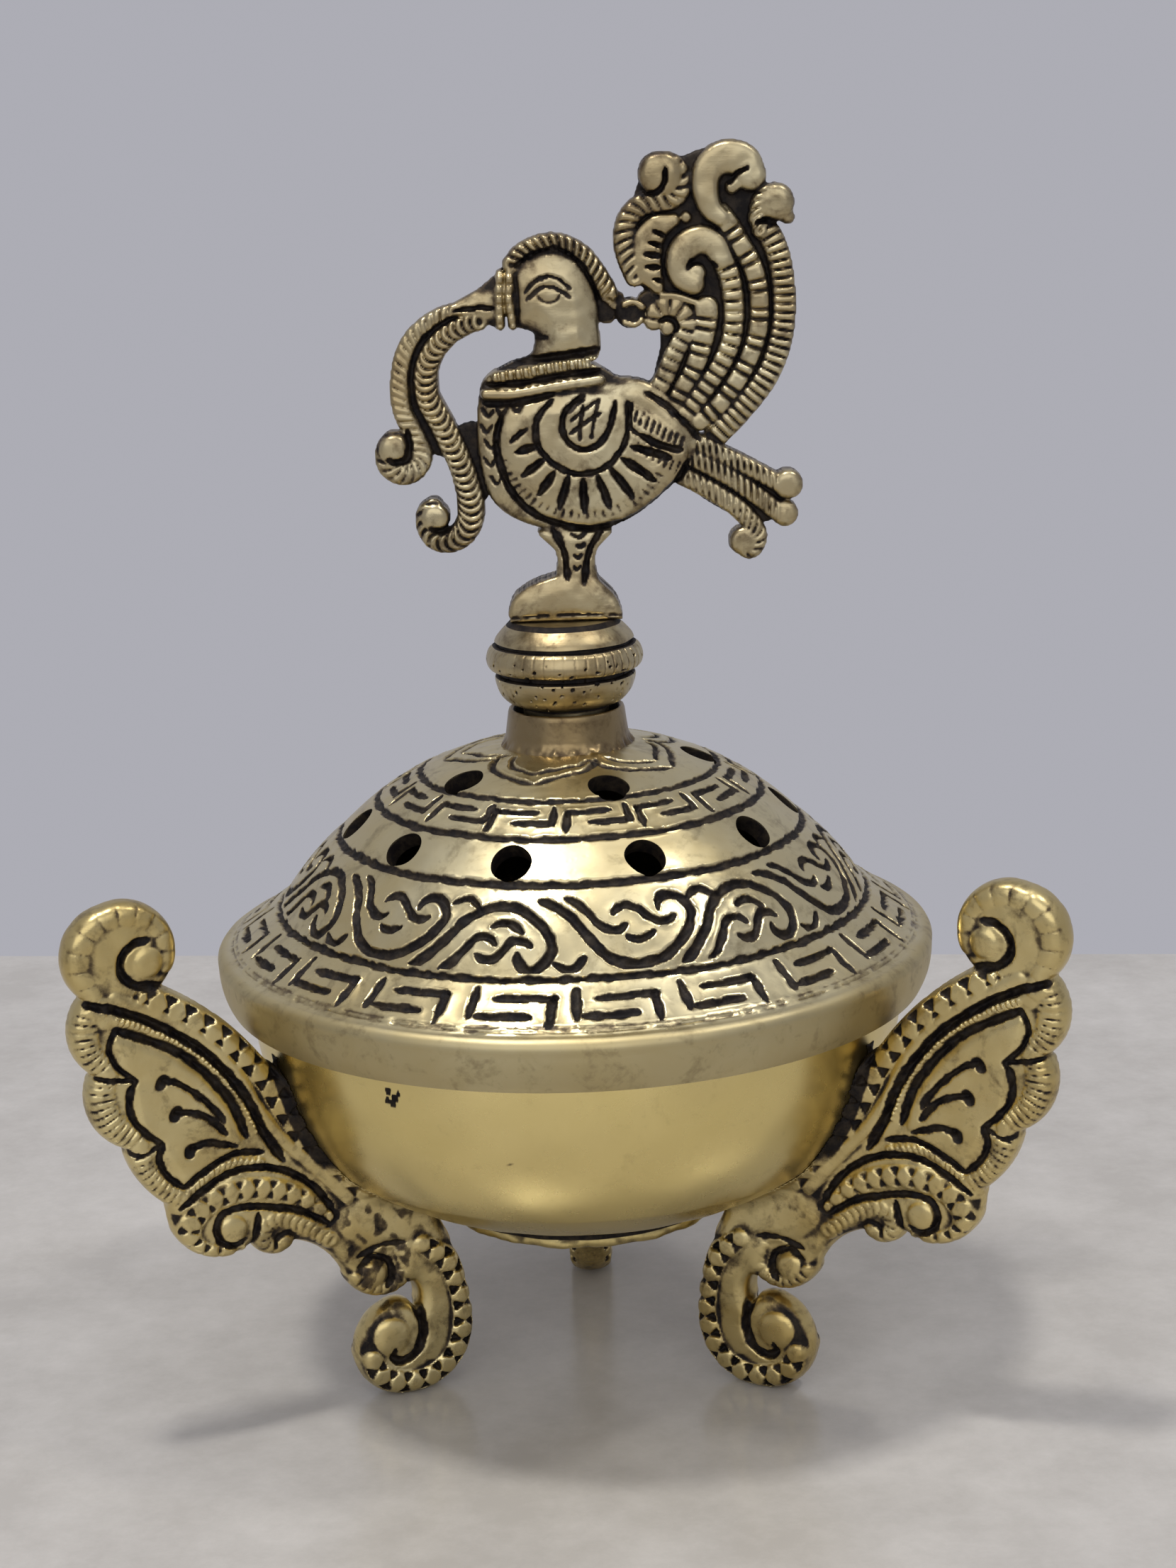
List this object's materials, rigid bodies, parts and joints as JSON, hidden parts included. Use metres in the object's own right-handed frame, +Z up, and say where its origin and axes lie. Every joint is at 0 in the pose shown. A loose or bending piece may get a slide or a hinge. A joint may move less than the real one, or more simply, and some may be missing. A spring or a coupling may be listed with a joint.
{
  "type": "incense burner",
  "caption": "Tripod incense burner: turned bowl on three cast scroll legs, pierced engraved lid that lifts off, and a flat peacock finial.",
  "frame": {"origin": "on the bowl's vertical axis, at the level of the three feet", "axes": "+Z up along the bowl's axis; -Y towards the front, so the peacock's flat side faces the front; +X to the viewer's right"},
  "size_m": [0.1268, 0.119, 0.1642],
  "materials": {
    "bowl_brass": "satin, spun",
    "leg_brass": "as cast, black patina in the hollows",
    "lid_brass": "satin, pale, engraved with dark patina",
    "finial_brass": "as cast, pale, dark patina in the hollows",
    "fastener_brass": "plain machined"
  },
  "bodies": {
    "base": {"bowl": "bowl_brass", "leg_front_left": "leg_brass", "leg_front_right": "leg_brass", "leg_rear": "leg_brass", "leg_screw_front_left": "fastener_brass", "leg_screw_front_right": "fastener_brass", "leg_screw_rear": "fastener_brass"},
    "lid": {"lid": "lid_brass", "lid_locating_ring": "lid_brass", "lid_collar": "finial_brass", "finial_knob": "finial_brass", "finial_peacock": "finial_brass", "finial_stud": "fastener_brass", "finial_washer": "fastener_brass", "finial_nut": "fastener_brass"}
  },
  "joints": [
    {"name": "lid_lift", "type": "slide", "parent": "base", "child": "lid", "axis": [0, 0, 1], "range_m": [0, 0.03]}
  ]
}
